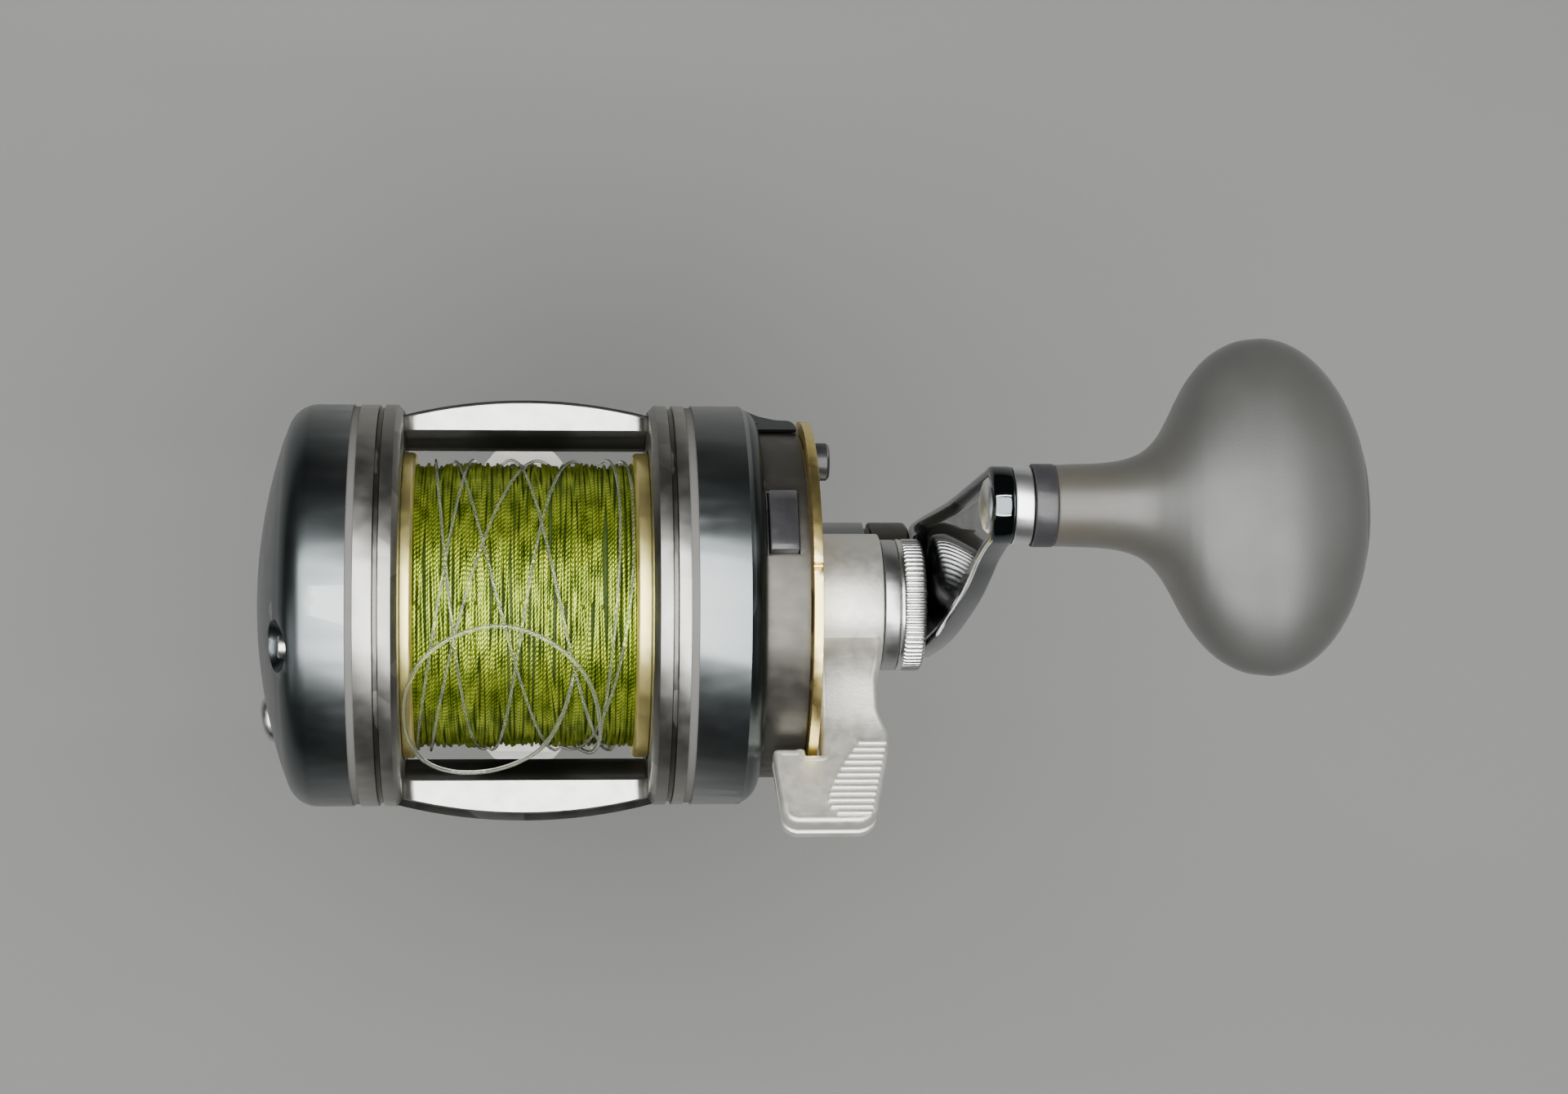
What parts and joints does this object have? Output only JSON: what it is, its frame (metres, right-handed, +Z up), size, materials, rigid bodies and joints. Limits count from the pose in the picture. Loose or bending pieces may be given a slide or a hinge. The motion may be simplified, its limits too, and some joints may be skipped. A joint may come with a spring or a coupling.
{
  "type": "trolling reel",
  "caption": "Lever-drag trolling reel with a wide line spool, drag lever, preset knob and a power handle with a T-shaped grip",
  "frame": {"origin": "centre of the reel foot's underside, where the rod's reel seat holds it", "axes": "+X along the spool axis to the handle side, +Y forward along the rod where the line leaves, +Z up away from the rod"},
  "size_m": [0.189, 0.0882, 0.1392],
  "materials": {
    "frame_metal": "satin warm gunmetal anodised aluminium",
    "plate_metal": "satin cool gunmetal side plate, softly reflective",
    "gold": "gold anodised aluminium, satin gloss",
    "gold_brushed": "gold anodised sheet with a machined rim",
    "drum_metal": "matte warm dark grey coating",
    "lever_metal": "blasted light pewter casting",
    "chrome": "polished chrome",
    "dark_chrome": "smoked chrome",
    "black_satin": "black satin",
    "grip_rubber": "matte grey soft-touch rubber",
    "gasket_rubber": "dark rubber seal",
    "line_braid": "lime green braided line",
    "leader_mono": "clear monofilament",
    "steel": "machined stainless steel",
    "bronze": "bearing bronze",
    "carbon": "carbon fibre friction disc"
  },
  "bodies": {
    "reel_body": {"frame": "frame_metal", "reel_foot": "frame_metal", "foot_screws": "steel", "left_cap": "plate_metal", "left_gasket": "gasket_rubber", "left_cap_screws": "steel", "left_bushing": "bronze", "pinion_bearing": "steel", "inner_plate": "steel", "shaft_bushings": "bronze", "dog_pins": "steel", "right_gasket": "gasket_rubber", "right_plate": "plate_metal", "right_plate_screws": "steel", "quadrant_drum": "drum_metal", "drum_screws": "steel", "quadrant_plate": "gold_brushed", "quadrant_screws": "steel", "stop_peg": "black_satin", "spring_washers": "steel", "shaft_guard": "drum_metal", "guard_screws": "steel"},
    "clicker": {"clicker_button": "steel", "clicker_pawl": "steel"},
    "spindle_body": {"spindle": "steel"},
    "spool_body": {"spool": "gold", "line_pack": "line_braid", "leader_loop": "leader_mono", "spool_bearings": "steel", "drag_washer": "carbon", "clicker_gear": "steel"},
    "pinion_body": {"pinion": "bronze", "drive_plate": "steel"},
    "crank": {"main_gear": "bronze", "gear_shaft": "steel", "ratchet_wheel": "steel", "handle_collar": "dark_chrome", "handle_arm": "chrome", "handle_nut": "chrome", "knob_post": "chrome", "knob_ferrule": "chrome"},
    "grip": {"knob_collar": "black_satin", "knob_bushings": "bronze", "grip_knob": "grip_rubber", "grip_end_cap": "grip_rubber"},
    "dog_front_body": {"dog_front": "steel"},
    "dog_rear_body": {"dog_rear": "steel"},
    "lever": {"drag_lever": "lever_metal", "lever_cam": "steel", "preset_collar": "dark_chrome"},
    "preset": {"preset_knob": "chrome"},
    "strike": {"strike_button": "black_satin"}
  },
  "joints": [
    {"name": "lever_swing", "type": "hinge", "parent": "reel_body", "child": "lever", "pos_m": [0.06, 0, 0.043], "axis": [-1, 0, 0], "range_deg": [0, 100]},
    {"name": "spindle_slide", "type": "slide", "parent": "reel_body", "child": "spindle_body", "axis": [1, 0, 0], "range_m": [0, 0.00045]},
    {"name": "spool_spin", "type": "hinge", "parent": "spindle_body", "child": "spool_body", "pos_m": [0, 0, 0.043], "axis": [1, 0, 0], "continuous": true},
    {"name": "preset_turn", "type": "hinge", "parent": "spindle_body", "child": "preset", "pos_m": [0.072, 0, 0.043], "axis": [1, 0, 0], "range_deg": [-180, 180]},
    {"name": "handle_crank", "type": "hinge", "parent": "reel_body", "child": "crank", "pos_m": [0.06, 0.00297, 0.02423], "axis": [1, 0, 0], "continuous": true},
    {"name": "pinion_spin", "type": "hinge", "parent": "reel_body", "child": "pinion_body", "pos_m": [0.035, 0, 0.043], "axis": [1, 0, 0], "continuous": true},
    {"name": "grip_spin", "type": "hinge", "parent": "crank", "child": "grip", "pos_m": [0.11, 0.01633, 0.12303], "axis": [1, 0, 0], "continuous": true},
    {"name": "dog_front_lift", "type": "hinge", "parent": "reel_body", "child": "dog_front_body", "pos_m": [0.0385, 0.0144, 0.03083], "axis": [-1, 0, 0], "range_deg": [0, 8]},
    {"name": "dog_rear_lift", "type": "hinge", "parent": "reel_body", "child": "dog_rear_body", "pos_m": [0.0385, -0.00846, 0.01763], "axis": [-1, 0, 0], "range_deg": [0, 8]},
    {"name": "strike_push", "type": "slide", "parent": "reel_body", "child": "strike", "axis": [0, -0.4617, -0.887], "range_m": [0, 0.0015], "stiffness_N_per_m": 300},
    {"name": "clicker_slide", "type": "slide", "parent": "reel_body", "child": "clicker", "axis": [-0.2334, 0.8505, 0.4714], "range_m": [0, 0.004]}
  ],
  "couplings": [
    {"joint": "pinion_spin", "follows": "handle_crank", "ratio": -3.75},
    {"joint": "spindle_slide", "follows": "lever_swing", "m_per_rad": 0.00025783}
  ]
}
